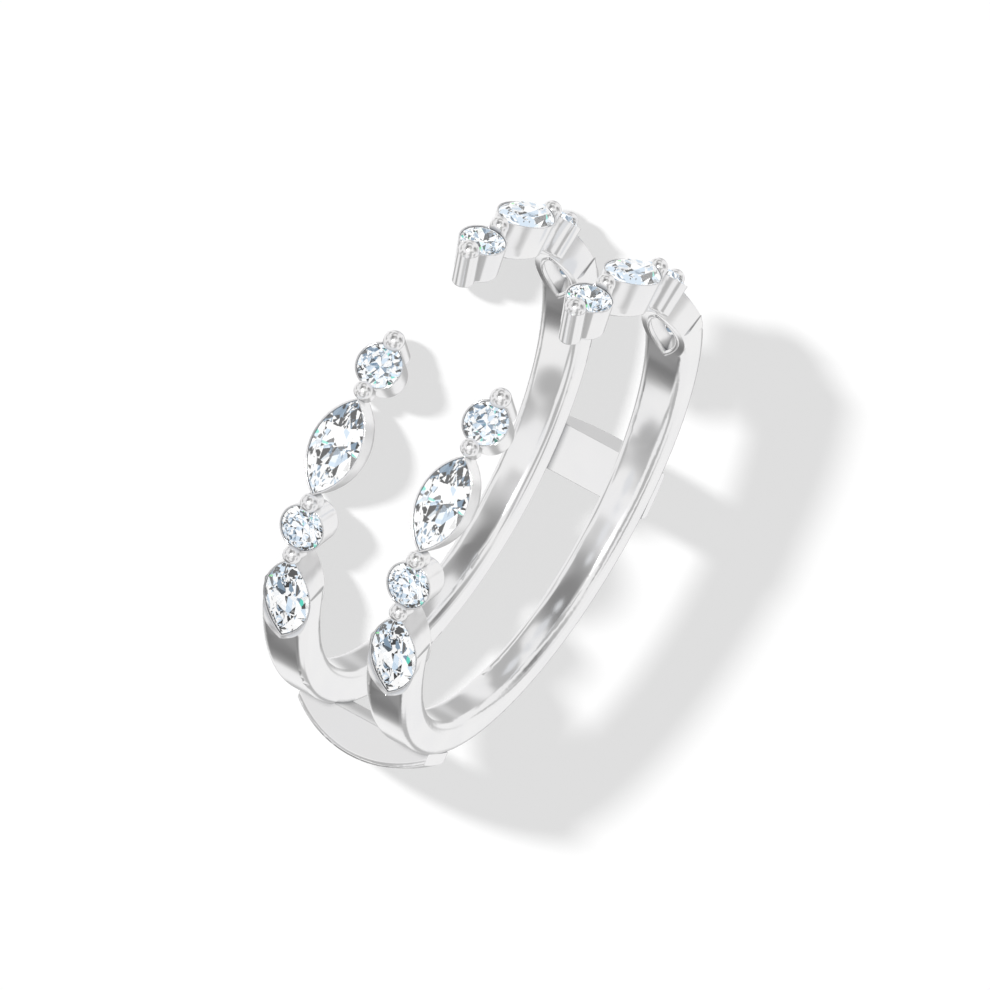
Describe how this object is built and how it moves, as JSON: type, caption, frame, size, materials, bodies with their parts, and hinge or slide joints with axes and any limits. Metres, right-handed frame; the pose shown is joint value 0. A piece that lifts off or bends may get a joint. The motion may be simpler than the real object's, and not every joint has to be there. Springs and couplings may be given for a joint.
{
  "type": "ring guard enhancer",
  "caption": "Open double-band ring guard with domed bridges, its four arms set with round and marquise stones in cups, made to hold another ring in the slot between the bands.",
  "frame": {"origin": "middle of the finger hole, halfway between the two bands", "axes": "+Z along the axis of the finger hole, up from the side that the ring lies on; -Y towards the open gap between the arms; +X to the right seen from the gap"},
  "size_m": [0.0202, 0.0203, 0.0068],
  "materials": {
    "white_gold": "polished",
    "diamond": "faceted, clear"
  },
  "bodies": {
    "root": {"ring_mount": "white_gold", "round_1_upper_right": "diamond", "marquise_1_upper_right": "diamond", "round_2_upper_right": "diamond", "marquise_2_upper_right": "diamond", "round_1_upper_left": "diamond", "marquise_1_upper_left": "diamond", "round_2_upper_left": "diamond", "marquise_2_upper_left": "diamond", "round_1_lower_right": "diamond", "marquise_1_lower_right": "diamond", "round_2_lower_right": "diamond", "marquise_2_lower_right": "diamond", "round_1_lower_left": "diamond", "marquise_1_lower_left": "diamond", "round_2_lower_left": "diamond", "marquise_2_lower_left": "diamond"}
  },
  "joints": []
}
